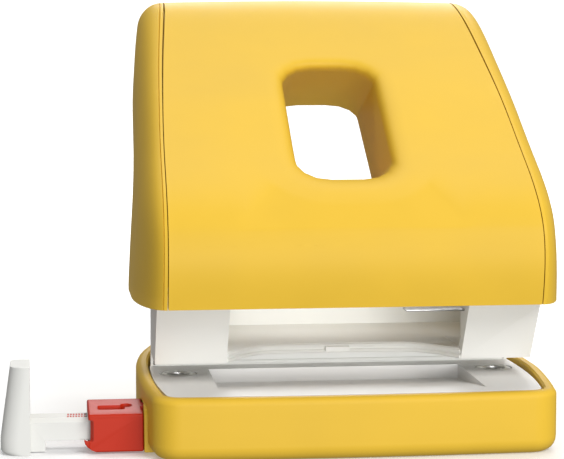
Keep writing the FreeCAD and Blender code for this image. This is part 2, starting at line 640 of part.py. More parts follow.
# ---- paper guide --------------------------------------------------------------------
def guide_bar():
    """The sliding guide: a bar with a row of notches, and an upright stop on its left end."""
    (y0, y1), (z0, z1) = BAR_Y, BAR_Z
    section = [(y0, z0), (y0, z1 - 1.0), (y0 + 1.3, z1), (y1, z1), (y1, z0)]
    bar = prism_x(section, BAR_LEFT_X - 1.0, BAR_LEFT_X + BAR_LENGTH)
    foot = box(BAR_LEFT_X - 1.0, FOOT_X, y0, y1, 0.3, z0 + 1.0)
    front_y, back_y = STOP_Y
    side_x = STOP_OUT_X + STOP_BULGE
    a, b = V(BAR_LEFT_X, front_y, 0), V(BAR_LEFT_X, back_y, 0)
    c, d = V(side_x, back_y, 0), V(side_x, front_y, 0)
    edges = [Part.LineSegment(a, b).toShape(), Part.LineSegment(b, c).toShape(),
             arc(c, V(STOP_OUT_X, 0.5 * (front_y + back_y), 0), d), Part.LineSegment(d, a).toShape()]
    post = Part.Face(Part.Wire(edges)).extrude(V(0, 0, STOP_TOP_Z))
    lean = [(STOP_OUT_X - 5.0, 4.0), (STOP_OUT_X, 4.0), (STOP_TOP_OUT_X, STOP_TOP_Z),
            (STOP_TOP_OUT_X, 30.0), (STOP_OUT_X - 5.0, 30.0)]
    outside = Part.Face(Part.makePolygon([V(x, -40.0, z) for x, z in lean + lean[:1]]))
    bevel = prism_x([(front_y - 1.0, STOP_TOP_Z - 1.6), (front_y + 0.6, STOP_TOP_Z), (front_y + 0.6, 30.0),
                     (front_y - 1.0, 30.0)], -90.0, -70.0)
    post = cut(post, [outside.extrude(V(0, 60, 0)), bevel])
    guide = fuse([bar, foot, post])
    notches = []
    for i in range(NOTCH_COUNT):
        x = NOTCH_FIRST_X + NOTCH_PITCH * i
        notches.append(box(x, x + 2.2, y1 - 1.0, y1 + 1.0, z0 + 1.5, z1 - 1.5))
    return cut(guide, notches)


def guide_latch():
    """The press-in latch: a sleeve round the guide bar with a thumb lip and a spring slot."""
    (x0, x1), (y0, y1), (z0, z1) = LATCH_X, LATCH_Y, LATCH_Z
    section = [(y0, z0), (y0, z1 - 1.9), (y0 + 2.0, z1 - 0.9), (y0 + 7.5, z1), (y1, z1), (y1, z0)]
    body = prism_x(section, x0, x1)
    front_edges = [e for e in body.Edges if e.BoundBox.XMax < x0 + 0.01 and e.BoundBox.YMax < y0 + 0.01]
    body = body.makeFillet(1.0, front_edges)
    lip = prism_z([(x0 - 1.1, y0 + 0.4), (x0 + 1.0, y0 + 0.2), (x0 + 1.0, y0 + 1.2), (x0 - 1.1, y0 + 1.0)],
                  z0 + 1.0, 3.4)
    channel = box(x0 - 5, x1 + 1, BAR_Y[0] - PART_GAP - 2.0, BAR_Y[1] + PART_GAP, BAR_Z[0] - PART_GAP,
                  BAR_Z[1] + PART_GAP)
    window = box(x0 + 2.4, x1 - 2.4, y0 + 3.6, y0 + 6.2, BAR_Z[1], z1 + 1)
    tongue = box(x1 - 0.5, -44.5, BAR_Y[0] + 0.5, BAR_Y[1] - 1.5, BAR_Z[1] + PART_GAP, z1 - 0.2)
    return fuse([cut(body, [channel, window]), lip, tongue])


# ---- all pieces ---------------------------------------------------------------------
def main():
    os.makedirs("parts", exist_ok=True)
    cap = side_cap()
    pieces = {
        "base_tray": base_tray(),
        "anti_slip_pads": Part.makeCompound(pad_solids()),
        "tray_hinge_pin": hinge_pin(),
        "die_plate": die_plate(),
        "frame_rivets": frame_rivets(),
        "punch_frame": punch_frame(),
        "pivot_axle": pivot_axle(),
        "axle_clips": axle_clips(),
        "handle_shell": handle_shell(),
        "side_cap_right": cap,
        "side_cap_left": cap.mirror(V(0, 0, 0), V(1, 0, 0)),
        "back_cover": back_cover(),
        "handle_screws": handle_screws(),
        "lever_plate": lever_plate(),
        "press_pads": press_pads(),
        "guide_bar": guide_bar(),
        "guide_latch": guide_latch(),
    }
    for name, side in (("left", -1), ("right", 1)):
        pieces["die_bushing_" + name] = die_bushing(side)
        pieces["pin_guide_" + name] = pin_guide(side)
        pieces["punch_pin_" + name] = punch_pin(side)
        pieces["pin_clip_" + name] = pin_clip(side)
        pieces["return_spring_" + name] = return_spring(side)
    for name, shape in pieces.items():
        save(name, shape)
        print(name, len(shape.Solids), round(shape.Volume, 1), shape.isValid())


main()
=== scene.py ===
import math

import bmesh
import bpy
import numpy as np
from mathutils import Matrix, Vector
from mathutils.geometry import delaunay_2d_cdt


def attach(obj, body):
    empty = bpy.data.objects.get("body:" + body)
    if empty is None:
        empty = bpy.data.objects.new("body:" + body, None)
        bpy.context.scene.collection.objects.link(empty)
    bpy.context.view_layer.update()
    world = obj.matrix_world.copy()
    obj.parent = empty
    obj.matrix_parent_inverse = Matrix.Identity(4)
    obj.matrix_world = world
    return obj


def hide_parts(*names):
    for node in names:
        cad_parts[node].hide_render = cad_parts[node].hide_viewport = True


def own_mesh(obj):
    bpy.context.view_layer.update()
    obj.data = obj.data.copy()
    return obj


# A desk hole punch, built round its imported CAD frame. Shapes are given in millimetres, which
# mesh_piece() turns into the frame's metres.

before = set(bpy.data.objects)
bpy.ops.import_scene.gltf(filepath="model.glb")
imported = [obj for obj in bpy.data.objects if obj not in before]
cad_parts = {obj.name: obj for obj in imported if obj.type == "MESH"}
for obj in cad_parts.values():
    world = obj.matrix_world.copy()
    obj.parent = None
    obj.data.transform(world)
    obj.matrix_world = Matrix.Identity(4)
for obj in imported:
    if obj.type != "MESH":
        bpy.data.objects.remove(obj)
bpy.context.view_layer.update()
MM = 0.001

# ---- sizes the shapes below are worked out from --------------------------------------
# The handle's seams, sides and back.
BOTTOM_Z = 35.2          # its bottom edge
WALL = 2.2               # the shell's wall
SEAM_X = 44.5            # the seam's distance from the middle, at the bottom edge
SEAM_GAP = 0.11          # half of the seam's width
SEAM_DROP = 2.33e-5      # upwards the seam draws in by SEAM_DROP * height ** SEAM_POWER
SEAM_POWER = 2.86
SIDE_X = 51.85           # the side's distance from the middle, at the bottom edge
SIDE_LEAN = 0.062        # how much it leans in for each millimetre upwards
BACK_TAPER = 0.0021      # how much it draws in behind TAPER_START_Y, times distance squared
TAPER_START_Y = 36.0
BACK_AT_0 = 49.57        # the back's slanted line is z = BACK_AT_0 + BACK_SLOPE * y
BACK_SLOPE = 0.6085
BACK_HIGH_Y = 78.0       # where that line meets the crest

# The side caps: how far they draw in between the seam and the side.
CAP_REACH = 26.0         # along y, up to the crest
CAP_DROP = 7.0           # along z, up to where the back begins
CAP_BACK = 6.0           # along y behind the crest, and both ways on the back
CAP_WALL = 2.0
NORMAL_REACH = 7.0       # the outline's normals are averaged this far to each side
FOOT_BLEND = 6.0         # the drawing in dies out over this height above the bottom edge

# The finger hole.  Its ends are (y, z), low and high, on the front and at the tunnel's far end.
HOLE_HALF_X = 11.8
HOLE_CORNER = 7.5
HOLE_RIM = 5.0
HOLE_FRONT = ((-20.0, 64.8), (20.0, 90.3))
HOLE_BACK = ((12.75, 57.3), (50.0, 79.6))

# The base, from above and at its rim.
BASE_HALF_X = 50.3
BASE_MID_Y = -3.0        # it is widest here, and behind it a superellipse
BASE_BACK_Y = 74.0
BASE_FRONT_Y = -38.0
BASE_CORNER = 7.0
BASE_TAPER = 1.8         # how much narrower each side is at the front
BASE_BOW = 1.1           # how far the front bows out
BASE_POWER = 2.5         # the superellipse's power
RIM_FRONT = 15.0         # the rim's height at the front, which rises to RIM_TOP
RIM_TOP = 16.4
RIM_RISE_Y = 32.0        # over this distance

# The frame.
PLATE_TOP = 15.0         # the die plate's top
BED_LOW = 19.3           # the hold-down bed's underside and top
BED_TOP = 21.8
DIE_X = 40.0             # each die's distance from the middle


# ---- mesh helpers --------------------------------------------------------------------
MERGE = 0.01
SLIVER = 0.005
PARALLEL = 1e-12
EDGE_SLACK = 1e-9


def mesh_piece(name, points, faces):
    """An object from points in millimetres, its doubles merged and its faces turned outwards."""
    mesh = bpy.data.meshes.new(name)
    mesh.from_pydata([(x * MM, y * MM, z * MM) for x, y, z in points], [], faces)
    piece = bpy.data.objects.new(name, mesh)
    bpy.context.scene.collection.objects.link(piece)
    bm = bmesh.new()
    bm.from_mesh(mesh)
    bmesh.ops.remove_doubles(bm, verts=bm.verts, dist=MERGE * MM)
    bmesh.ops.dissolve_degenerate(bm, edges=bm.edges, dist=SLIVER * MM)
    bmesh.ops.recalc_face_normals(bm, faces=bm.faces)
    bm.to_mesh(mesh)
    bm.free()
    return piece


def apply_modifiers(piece):
    """Turns a piece's modifiers into mesh."""
    depsgraph = bpy.context.evaluated_depsgraph_get()
    mesh = bpy.data.meshes.new_from_object(piece.evaluated_get(depsgraph))
    piece.modifiers.clear()
    piece.data = mesh


def thicken(piece, thickness):
    """Gives a sheet its wall, inwards from the face normals."""
    solid = piece.modifiers.new("wall", "SOLIDIFY")
    solid.thickness = thickness * MM
    solid.offset = -1.0
    solid.use_even_offset = True
    apply_modifiers(piece)


def round_edges(piece, width, segments=3, angle=40.0):
    """Rounds the edges that turn by more than the angle."""
    bevel = piece.modifiers.new("round", "BEVEL")
    bevel.width = width * MM
    bevel.segments = segments
    bevel.limit_method = "ANGLE"
    bevel.angle_limit = math.radians(angle)
    bevel.use_clamp_overlap = True
    bevel.miter_outer = "MITER_ARC"
    apply_modifiers(piece)


def shade(piece, angle=32.0):
    """Smooth shading, with edges over the angle kept sharp."""
    piece.data.polygons.foreach_set("use_smooth", [True] * len(piece.data.polygons))
    piece.data.set_sharp_from_angle(angle=math.radians(angle))
    weighted = piece.modifiers.new("normals", "WEIGHTED_NORMAL")
    weighted.keep_sharp = True
    apply_modifiers(piece)


def cut_out(piece, cutter):
    """Cuts the cutter's shape out of a piece and removes the cutter."""
    boolean = piece.modifiers.new("cut", "BOOLEAN")
    boolean.operation = "DIFFERENCE"
    boolean.solver = "EXACT"
    boolean.object = cutter
    apply_modifiers(piece)
    bpy.data.objects.remove(cutter)


def settle(piece, body, slot, material, *nodes):
    """Puts a finished piece on its body, with its finish, in place of its CAD nodes."""
    piece.data.materials.clear()
    piece.data.materials.append(material)
    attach(piece, body)
    if nodes:
        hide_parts(*nodes)
    return piece


def strips(rows, closed=False):
    """Faces between rows of equally many points; closed joins each row's end to its start."""
    width = len(rows[0])
    faces = []
    for r in range(len(rows) - 1):
        for c in range(width if closed else width - 1):
            d = (c + 1) % width
            faces.append((r * width + c, r * width + d, (r + 1) * width + d, (r + 1) * width + c))
    return [p for row in rows for p in row], faces


def spline(points, count):
    """A smooth curve through 2-D points, as count + 1 evenly spaced points."""
    p = np.array(points, float)
    t = np.concatenate([[0.0], np.cumsum(np.linalg.norm(np.diff(p, axis=0), axis=1))])
    n = len(p)
    h = np.diff(t)
    a = np.zeros((n, n))
    b = np.zeros((n, p.shape[1]))
    a[0, 0] = a[-1, -1] = 1.0
    for i in range(1, n - 1):
        a[i, i - 1:i + 2] = h[i - 1], 2.0 * (h[i - 1] + h[i]), h[i]
        b[i] = 6.0 * ((p[i + 1] - p[i]) / h[i] - (p[i] - p[i - 1]) / h[i - 1])
    m = np.linalg.solve(a, b)

    def value(at):
        i = min(max(int(np.searchsorted(t, at, "right")) - 1, 0), n - 2)
        lo, hi = at - t[i], t[i + 1] - at
        first = p[i] * hi / h[i] + p[i + 1] * lo / h[i]
        bend = m[i] * (hi ** 3 / h[i] - hi * h[i]) + m[i + 1] * (lo ** 3 / h[i] - lo * h[i])
        return first + bend / 6.0

    return [value(t[-1] * k / count) for k in range(count + 1)]


def ray_loop(outline, centre, directions):
    """Where rays from the centre cross a closed outline, one point for each direction."""
    points = [np.array(p, float) for p in outline]
    c = np.array(centre, float)
    loop = []
    for d in directions:
        best = None
        for a, b in zip(points, points[1:] + points[:1]):
            e = b - a
            det = d[0] * -e[1] + d[1] * e[0]
            if abs(det) < PARALLEL:
                continue
            r = a - c
            along = (r[0] * -e[1] + r[1] * e[0]) / det
            share = (d[0] * r[1] - d[1] * r[0]) / det
            inside = -EDGE_SLACK <= share <= 1 + EDGE_SLACK
            if along > 0 and inside and (best is None or along > best):
                best = along
        loop.append(c + np.array(d) * best)
    return loop


def rounded_box(half_x, low, high, corner, steps=8):
    """A rectangle with round corners, as a list of (x, s)."""
    points = []
    corners = ((half_x, high, 0), (-half_x, high, 90), (-half_x, low, 180), (half_x, low, 270))
    for x, s, start in corners:
        cx = x - math.copysign(corner, x)
        cs = s - corner if s == high else s + corner
        for k in range(steps + 1):
            angle = math.radians(start + 90.0 * k / steps)
            points.append((cx + corner * math.cos(angle), cs + corner * math.sin(angle)))
    return points


# ---- materials -----------------------------------------------------------------------
CLOUD_SCALE = 28.0       # noise scales are per metre
DRAWN_SCALE = 900.0
CLOUD_BAND = (0.3, 0.7)  # the band of the noise that the colour clouds are made from
WEAR_BAND = (0.52, 0.62) # the band of pointiness over which wear sets in
WEAR_SHARE = 0.16        # how far a worn edge's colour goes towards its lighter tone


def new_material(name):
    material = bpy.data.materials.new(name)
    material.use_nodes = True
    nodes = material.node_tree.nodes
    return material, nodes, material.node_tree.links, nodes["Principled BSDF"]


def add_node(nodes, kind, **values):
    """A shader node with its sockets or, where it has no such socket, its settings filled in."""
    node = nodes.new(kind)
    for key, value in values.items():
        if key in node.inputs:
            node.inputs[key].default_value = value
        else:
            setattr(node, key, value)
    return node


def remap(nodes, links, source, target, to, start=(0.0, 1.0)):
    """Leads one socket to another through a map from the range start to the range to."""
    node = nodes.new("ShaderNodeMapRange")
    for name, value in zip(("From Min", "From Max", "To Min", "To Max"), (*start, *to)):
        node.inputs[name].default_value = value
    links.new(source, node.inputs["Value"])
    links.new(node.outputs["Result"], target)


def moulded(name, colour, roughness, grain=0.35, grain_bump=0.06, cloud=0.035, specular=0.5):
    """Moulded or painted surface: faint colour clouds, a fine grain and slightly worn edges."""
    material, nodes, links, shader = new_material(name)
    place = add_node(nodes, "ShaderNodeTexCoord")
    clouds = add_node(nodes, "ShaderNodeTexNoise", Scale=CLOUD_SCALE, Detail=3.0, Roughness=0.55)
    links.new(place.outputs["Object"], clouds.inputs["Vector"])
    tint = add_node(nodes, "ShaderNodeHueSaturation", Color=(*colour, 1.0))
    remap(nodes, links, clouds.outputs["Fac"], tint.inputs["Value"],
          (1.0 - cloud, 1.0 + cloud), start=CLOUD_BAND)
    shape = add_node(nodes, "ShaderNodeNewGeometry")
    worn = add_node(nodes, "ShaderNodeMix", data_type="RGBA")
    worn.inputs["B"].default_value = (*[min(1.0, 1.25 * c + 0.04) for c in colour], 1.0)
    remap(nodes, links, shape.outputs["Pointiness"], worn.inputs["Factor"],
          (0.0, WEAR_SHARE), start=WEAR_BAND)
    links.new(tint.outputs["Color"], worn.inputs["A"])
    links.new(worn.outputs["Result"], shader.inputs["Base Color"])
    fine = add_node(nodes, "ShaderNodeTexNoise", Scale=1000.0 / grain, Detail=2.0, Roughness=0.6)
    links.new(place.outputs["Object"], fine.inputs["Vector"])
    remap(nodes, links, clouds.outputs["Fac"], shader.inputs["Roughness"],
          (roughness - 0.05, roughness + 0.07))
    bump = add_node(nodes, "ShaderNodeBump", Strength=grain_bump, Distance=0.0002)
    links.new(fine.outputs["Fac"], bump.inputs["Height"])
    links.new(bump.outputs["Normal"], shader.inputs["Normal"])
    shader.inputs["Specular IOR Level"].default_value = specular
    return material


def metal(name, colour, roughness, stretch=(1.0, 1.0, 12.0)):
    """Bare steel: fine drawn lines in colour, roughness and bump."""
    material, nodes, links, shader = new_material(name)
    place = add_node(nodes, "ShaderNodeTexCoord")
    lines = add_node(nodes, "ShaderNodeMapping", Scale=stretch)
    links.new(place.outputs["Object"], lines.inputs["Vector"])
    noise = add_node(nodes, "ShaderNodeTexNoise", Scale=DRAWN_SCALE, Detail=4.0, Roughness=0.6)
    links.new(lines.outputs["Vector"], noise.inputs["Vector"])
    tone = add_node(nodes, "ShaderNodeMix", data_type="RGBA")
    tone.inputs["A"].default_value = (*[0.88 * c for c in colour], 1.0)
    tone.inputs["B"].default_value = (*colour, 1.0)
    links.new(noise.outputs["Fac"], tone.inputs["Factor"])
    links.new(tone.outputs["Result"], shader.inputs["Base Color"])
    remap(nodes, links, noise.outputs["Fac"], shader.inputs["Roughness"],
          (roughness - 0.08, roughness + 0.10))
    bump = add_node(nodes, "ShaderNodeBump", Strength=0.05, Distance=0.0001)
    links.new(noise.outputs["Fac"], bump.inputs["Height"])
    links.new(bump.outputs["Normal"], shader.inputs["Normal"])
    shader.inputs["Metallic"].default_value = 1.0
    return material


def enamel(name, colour):
    """White enamel on sheet steel."""
    return moulded(name, colour, 0.38, grain=0.9, grain_bump=0.03, cloud=0.012, specular=0.35)


YELLOW = moulded("yellow_plastic", (0.68, 0.43, 0.036), 0.50, specular=0.2)
WHITE = enamel("white_enamel", (0.83, 0.83, 0.79))
SATIN = enamel("plate_enamel", (0.83, 0.82, 0.80))
PALE = moulded("white_plastic", (0.66, 0.66, 0.63), 0.45,
               grain=0.5, grain_bump=0.04, cloud=0.012, specular=0.3)
RED = moulded("red_plastic", (0.45, 0.024, 0.007), 0.40,
              grain=0.6, grain_bump=0.03, cloud=0.03, specular=0.12)
RUBBER = moulded("rubber", (0.035, 0.035, 0.035), 0.75, grain=0.4, grain_bump=0.2, cloud=0.1)
NYLON = moulded("nylon", (0.06, 0.06, 0.065), 0.5, grain=0.4, grain_bump=0.08, cloud=0.05)
STEEL = metal("ground_steel", (0.66, 0.66, 0.65), 0.26)
ZINC = metal("zinc_steel", (0.62, 0.63, 0.65), 0.34, stretch=(10.0, 1.0, 1.0))
WIRE = metal("spring_wire", (0.42, 0.42, 0.43), 0.30)
BUSH = metal("die_steel", (0.90, 0.90, 0.88), 0.36, stretch=(1.0, 1.0, 1.0))


# ---- handle --------------------------------------------------------------------------
# The front outline (y, z), from the bottom edge up over the crest to the back's slanted line.
FRONT_LINE = [(-32.2, 35.2), (-34.0, 45.0), (-32.7, 53.0), (-26.0, 61.0), (-10.7, 71.0), (7.0, 83.0),
              (26.3, 95.0), (37.0, 101.2), (47.0, 105.8), (57.0, 107.9), (66.5, 106.4), (74.0, 101.9),
              (BACK_HIGH_Y, BACK_AT_0 + BACK_SLOPE * BACK_HIGH_Y)]
FRONT_POINTS = 600
# The cap's lower edge (y, z), from the back's slanted line forwards to the bottom edge.
SKIRT = [(23.5, BACK_AT_0 + BACK_SLOPE * 23.5), (20.4, 60.6), (19.0, 57.0), (18.6, 51.0), (18.2, 45.0),
         (16.6, 39.8), (13.2, 36.2), (9.6, BOTTOM_Z)]
SKIRT_X = 47.0
# Steps along the cap's outline: front, back and skirt.
FRONT_STEPS = 91
BACK_STEPS = 16
SKIRT_STEPS = 22
# The shell is lowered towards its seams by up to CREST_CROWN, from CROWN_START up.
CREST_CROWN = 1.2
CROWN_START = 45.0
# The cap's rows, in degrees from the seam to the side, one of them drawn in as a groove.
GROOVE_TURN = 7.6
GROOVE_DEPTH = 0.35
CAP_TURNS = (0, 6.4, GROOVE_TURN, 8.8, 16, 24, 32, 40, 48, 56, 64, 71, 77, 82, 86, 90)
# The grid of points in the cap's side, and how far they stay from its edge.
FACE_Y = range(-28, 76, 4)
FACE_Z = range(38, 104, 4)
FACE_CLEAR = 2.0
CDT_INSIDE = 1
CDT_EPSILON = 1e-4
# The lip behind the seam: half its width, its depth under the skin, its thickness, and the
# outline's points that it runs between.
LIP_HALF = 2.0
LIP_DEPTH = 2.35
LIP_THICK = 0.7
LIP_FIRST, LIP_LAST = 3, FRONT_STEPS - 6
# The patch of the shell round the finger hole, its loops, and the shell's rows and columns.
PATCH_MARGIN_S = 16.0
PATCH_MARGIN_X = 14.0
PATCH_LOOPS = (11.0, 9.0, 7.4, 6.2, HOLE_RIM)
RIM_STEPS = 7
TUNNEL_STEPS = 5
LOW_ROWS, PATCH_ROWS, HIGH_ROWS = 16, 26, 30
PATCH_COLUMNS, SIDE_COLUMNS = 8, 6
SAME_S = 1e-6


def seam_x(z):
    """The seam's distance from the middle at a height."""
    return SEAM_X - SEAM_DROP * max(0.0, z - BOTTOM_Z) ** SEAM_POWER


def side_x(y, z):
    """Half width of the handle's sides, which lean in upwards and draw in towards the back."""
    return SIDE_X - SIDE_LEAN * (z - BOTTOM_Z) - BACK_TAPER * max(0.0, y - TAPER_START_Y) ** 2


def lengths(points):
    """Each point's distance along a line from its first point."""
    steps = [0.0]
    for a, b in zip(points, points[1:]):
        steps.append(steps[-1] + math.dist(a, b))
    return steps


FRONT = spline(FRONT_LINE, FRONT_POINTS)
FRONT_S = lengths(FRONT)


def front_at(s):
    """The point (y, z) on the handle's front outline at the distance s from its bottom edge."""
    return (float(np.interp(s, FRONT_S, [p[0] for p in FRONT])),
            float(np.interp(s, FRONT_S, [p[1] for p in FRONT])))


def front_s(spot):
    """The distance along the front outline of its point nearest to spot."""
    return FRONT_S[min(range(len(FRONT)), key=lambda i: math.dist(FRONT[i], spot))]


HOLE_LOW_S, HOLE_HIGH_S = front_s(HOLE_FRONT[0]), front_s(HOLE_FRONT[1])
HOLE_MIDDLE_S = 0.5 * (HOLE_LOW_S + HOLE_HIGH_S)


def crowned(x, y, z, s):
    """Lowers a point of the shell towards its seams, most of all along the crest."""
    share = min(1.0, max(0.0, (s - CROWN_START) / (FRONT_S[-1] - CROWN_START)))
    drop = CREST_CROWN * math.sin(math.pi * share) ** 2 * min(1.0, abs(x) / seam_x(z)) ** 2
    return (x, y, z - drop)


def near_front(y, z):
    """Whether a point is on the skin or the hole's rim, not down in the hole's tunnel."""
    return math.dist(front_at(front_s((y, z))), (y, z)) < HOLE_RIM


def hole_loops(directions):
    """The finger hole's rows: from the patch round it, over its soft rim and down its tunnel."""
    low, high = HOLE_LOW_S, HOLE_HIGH_S

    def on_front(grow):
        outline = rounded_box(HOLE_HALF_X + grow, low - grow, high + grow, HOLE_CORNER + grow)
        return ray_loop(outline, (0.0, HOLE_MIDDLE_S), directions)

    def lift(loop):
        return [np.array([x, *front_at(s)]) for x, s in loop]

    rows = [lift(on_front(grow)) for grow in PATCH_LOOPS]
    brim = rows[-1]
    throat = on_front(0.0)
    corner = lift(throat)
    low_back, high_back = (np.array([0.0, *p]) for p in HOLE_BACK)
    far, rim = [], []
    for near, (x, s) in zip(corner, throat):
        end = low_back + (high_back - low_back) * (s - low) / (high - low) + np.array([x, 0, 0])
        far.append(end)
        rim.append(near + (end - near) * (HOLE_RIM / np.linalg.norm(end - near)))
    for k in range(1, RIM_STEPS + 1):
        t = k / RIM_STEPS
        rows.append([a * (1 - t) ** 2 + c * 2 * t * (1 - t) + b * t ** 2
                     for a, c, b in zip(brim, corner, rim)])
    for k in range(1, TUNNEL_STEPS + 1):
        rows.append([a + (b - a) * k / TUNNEL_STEPS for a, b in zip(rim, far)])
    return rows


def handle_shell():
    """The middle moulding: one sheet from the bottom edge over the crest, with the finger hole."""
    s0, s1 = HOLE_LOW_S - PATCH_MARGIN_S, HOLE_HIGH_S + PATCH_MARGIN_S
    half = HOLE_HALF_X + PATCH_MARGIN_X
    total = FRONT_S[-1]
    inner = [half * (-1.0 + 2.0 * k / PATCH_COLUMNS) for k in range(PATCH_COLUMNS + 1)]
    rows_s = [s0 * k / LOW_ROWS for k in range(LOW_ROWS)]
    rows_s += [s0 + (s1 - s0) * k / PATCH_ROWS for k in range(PATCH_ROWS + 1)]
    rows_s += [s1 + (total - s1) * k / HIGH_ROWS for k in range(1, HIGH_ROWS + 1)]
    points, faces, seen = [], [], {}

    def vertex(x, y, z):
        key = (round(x, 3), round(y, 3), round(z, 3))
        if key not in seen:
            seen[key] = len(points)
            points.append((x, y, z))
        return seen[key]

    def across(z):
        edge = seam_x(z) - SEAM_GAP
        outer = [edge - (edge - half) * k / SIDE_COLUMNS for k in range(SIDE_COLUMNS)]
        return [-x for x in outer] + inner + outer[::-1]

    in_patch = range(SIDE_COLUMNS, SIDE_COLUMNS + PATCH_COLUMNS)
    for sa, sb in zip(rows_s, rows_s[1:]):
        (ya, za), (yb, zb) = front_at(sa), front_at(sb)
        xa, xb = across(za), across(zb)
        for c in range(len(xa) - 1):
            if c in in_patch and sa >= s0 - SAME_S and sb <= s1 + SAME_S:
                continue
            faces.append([vertex(xa[c], ya, za), vertex(xa[c + 1], ya, za),
                          vertex(xb[c + 1], yb, zb), vertex(xb[c], yb, zb)])
    patch_s = [s for s in rows_s if s0 - SAME_S <= s <= s1 + SAME_S]
    border = [(x, patch_s[0]) for x in inner[:-1]] + [(half, s) for s in patch_s[:-1]]
    border += [(x, patch_s[-1]) for x in inner[:0:-1]] + [(-half, s) for s in patch_s[:0:-1]]
    directions = [np.array([x, s - HOLE_MIDDLE_S]) / math.hypot(x, s - HOLE_MIDDLE_S)
                  for x, s in border]
    rows = [[np.array([x, *front_at(s)]) for x, s in border]] + hole_loops(directions)
    for a, b in zip(rows, rows[1:]):
        for c in range(len(border)):
            d = (c + 1) % len(border)
            faces.append([vertex(*a[c]), vertex(*a[d]), vertex(*b[d]), vertex(*b[c])])
    points = [crowned(x, y, z, front_s((y, z))) if near_front(y, z) else (x, y, z)
              for x, y, z in points]
    shell = mesh_piece("handle_shell_skin", points, faces)
    face_up(shell, Vector((0, 0, 200 * MM)))
    thicken(shell, WALL)
    round_edges(shell, 0.35, segments=2, angle=55.0)
    shade(shell, angle=50.0)
    return settle(shell, "handle", "yellow_plastic", YELLOW, "handle_shell")


def face_up(piece, towards):
    """Turns a sheet's normals to the side that the point towards is on."""
    mesh = piece.data
    total = sum(f.normal.dot(towards - f.center) * f.area for f in mesh.polygons)
    if total < 0:
        mesh.flip_normals()


def cap_path():
    """The side cap's outline (y, z): up the front, over the crest, down the back and the skirt."""
    path = []
    for k in range(FRONT_STEPS):
        s = FRONT_S[-1] * k / (FRONT_STEPS - 1)
        path.append(crowned(SEAM_X, *front_at(s), s)[1:])
    (top_y, top_z), (low_y, low_z) = path[-1], SKIRT[0]
    for k in range(1, BACK_STEPS + 1):
        path.append((top_y + (low_y - top_y) * k / BACK_STEPS,
                     top_z + (low_z - top_z) * k / BACK_STEPS))
    return path + [tuple(p) for p in spline(SKIRT, SKIRT_STEPS)[1:]]


def outward(path):
    """The outline's outward normals, each one averaged over its near neighbours."""
    raw = []
    for i in range(len(path)):
        a, b = path[max(i - 1, 0)], path[min(i + 1, len(path) - 1)]
        length = math.dist(a, b)
        raw.append((-(b[1] - a[1]) / length, (b[0] - a[0]) / length))
    normals = []
    for spot in path:
        near = [max(0.0, 1.0 - math.dist(spot, p) / NORMAL_REACH) for p in path]
        ny = sum(w * n[0] for w, n in zip(near, raw))
        nz = sum(w * n[1] for w, n in zip(near, raw))
        size = math.hypot(ny, nz)
        normals.append((ny / size, nz / size))
    return normals


def cap_row(path, normals, turn, inset):
    """One row of the cap: turn runs from 0 at the seam to 90 degrees at the side."""
    drawn = 1.0 - math.cos(math.radians(turn))
    reach = math.sin(math.radians(turn))
    row = []
    for i, ((y, z), (ny, nz)) in enumerate(zip(path, normals)):
        if i < FRONT_STEPS:
            deep_y = inset + (CAP_REACH if ny < 0 else CAP_BACK) * drawn
            deep_z = inset + CAP_DROP * drawn
        else:
            deep_y = deep_z = inset + CAP_BACK * drawn
        py, pz = y - ny * deep_y, z - nz * deep_z
        near_foot = max(0.0, 1.0 - (z - BOTTOM_Z) / FOOT_BLEND)
        pz = max(pz + (z - pz) * near_foot, BOTTOM_Z)
        x0 = seam_x(pz) + SEAM_GAP if i < FRONT_STEPS + BACK_STEPS else SKIRT_X
        row.append((x0 + (side_x(py, pz) - inset - x0) * reach, py, pz))
    return row


def cap_face(edge, inset):
    """The cap's nearly flat side inside its rounded edge, as points and triangles."""
    outline = [(y, z) for _, y, z in edge]
    loop = [(k, (k + 1) % len(outline)) for k in range(len(outline))]
    grid = [(y, z) for y in FACE_Y for z in FACE_Z
            if min(math.dist((y, z), p) for p in outline) > FACE_CLEAR]
    spots, _, faces, *_ = delaunay_2d_cdt([Vector(p) for p in outline + grid], loop, [],
                                          CDT_INSIDE, CDT_EPSILON)
    return [(side_x(y, z) - inset, y, z) for y, z in spots], [tuple(f) for f in faces]


def seam_lip(path, normals):
    """The lip that the cap pushes in under the shell, behind the seam."""
    section = ((-LIP_HALF, LIP_DEPTH), (LIP_HALF, LIP_DEPTH), (LIP_HALF, LIP_DEPTH + LIP_THICK),
               (-LIP_HALF, LIP_DEPTH + LIP_THICK), (-LIP_HALF, LIP_DEPTH))
    along = list(zip(path[LIP_FIRST:LIP_LAST], normals[LIP_FIRST:]))
    rows = [[(seam_x(z) + reach, y - ny * depth, z - nz * depth) for (y, z), (ny, nz) in along]
            for reach, depth in section]
    points, faces = strips(rows)
    for end in (0, len(along) - 1):
        faces.append(tuple(r * len(along) + end for r in range(len(section) - 1)))
    return points, faces


